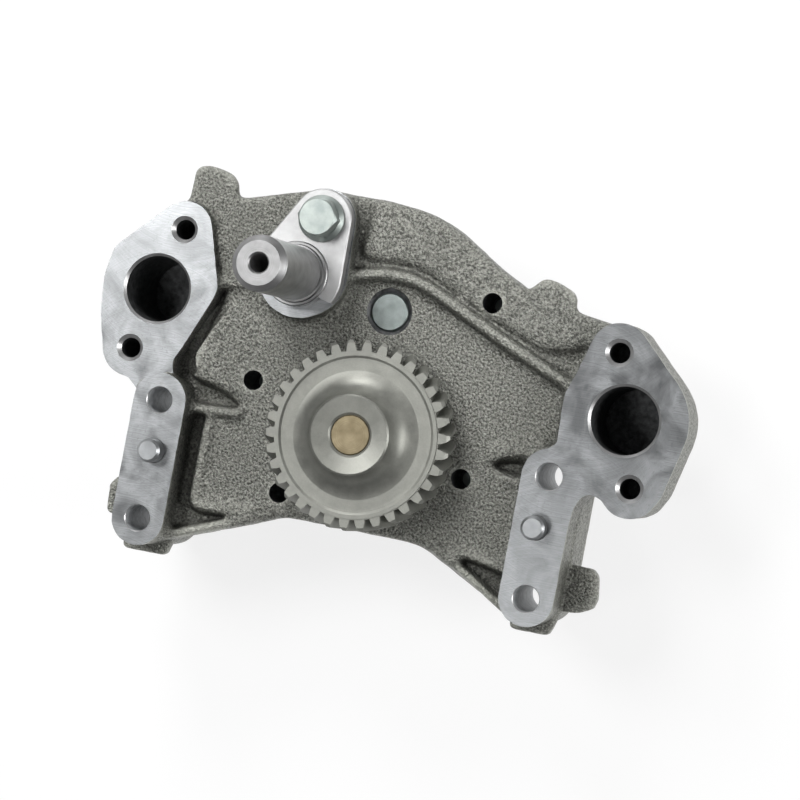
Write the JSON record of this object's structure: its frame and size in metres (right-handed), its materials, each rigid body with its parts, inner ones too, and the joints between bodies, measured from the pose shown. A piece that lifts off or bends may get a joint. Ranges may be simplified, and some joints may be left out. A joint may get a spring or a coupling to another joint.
{
  "type": "engine oil pump",
  "caption": "Gear-type engine oil pump in an arch-shaped cast-iron housing with two port flanges, mounting pads with dowels, helical drive gear and idler gear spindle.",
  "frame": {"origin": "centre of the four mounting-bolt holes, on the machined face of the mounting pads", "axes": "+Z out of the pad face to the drive side, +X from the left pad to the right pad, +Y away from the crankshaft arch. The pump lies on its rear cover."},
  "size_m": [0.2582, 0.1686, 0.1327],
  "materials": {
    "cast_iron": "sand-cast grey iron, bare, fine speckled grain; machined faces milled bright",
    "cover_iron": "sand-cast grey iron, bare",
    "gear_steel": "hardened steel, matt grey-beige",
    "shaft_steel": "ground steel with a faint straw tint",
    "polished_steel": "ground and polished steel",
    "plate_steel": "smooth blasted steel plate",
    "zinc_bolt": "pale zinc plating",
    "pin_steel": "ground steel pins with bright chamfers",
    "bronze": "plain bronze bearing metal",
    "spring_steel": "bare spring wire",
    "copper_seal": "soft copper washer"
  },
  "bodies": {
    "housing_set": {"housing": "cast_iron", "rear_cover": "cover_iron", "cover_screws": "zinc_bolt", "cover_dowels": "pin_steel", "driven_gear_shaft": "pin_steel", "front_shaft_bush": "bronze", "rear_shaft_bush": "bronze", "idler_spindle": "polished_steel", "keeper_plate": "plate_steel", "keeper_bolt": "zinc_bolt", "left_dowel": "pin_steel", "right_dowel": "pin_steel", "gallery_plug": "zinc_bolt", "relief_spring": "spring_steel", "relief_plug": "zinc_bolt", "relief_plug_seal": "copper_seal"},
    "drive_shaft_set": {"drive_shaft": "shaft_steel", "drive_gear": "gear_steel", "drive_pump_gear": "gear_steel"},
    "driven_gear_set": {"driven_pump_gear": "gear_steel", "driven_gear_bush": "bronze"},
    "relief_piston": {"relief_piston": "polished_steel"}
  },
  "joints": [
    {"name": "drive_shaft_spin", "type": "hinge", "parent": "housing_set", "child": "drive_shaft_set", "pos_m": [0.0038, 0.02695, 0], "axis": [0, 0, 1], "continuous": true},
    {"name": "driven_gear_spin", "type": "hinge", "parent": "housing_set", "child": "driven_gear_set", "pos_m": [0.0038, 0.07975, 0], "axis": [0, 0, 1], "continuous": true},
    {"name": "relief_piston_slide", "type": "slide", "parent": "housing_set", "child": "relief_piston", "axis": [0, -1, 0], "range_m": [0, 0.008], "stiffness_N_per_m": 5000, "springref_m": -0.012, "deforming": ["relief_spring"]}
  ],
  "couplings": [
    {"joint": "driven_gear_spin", "follows": "drive_shaft_spin", "ratio": -1}
  ]
}
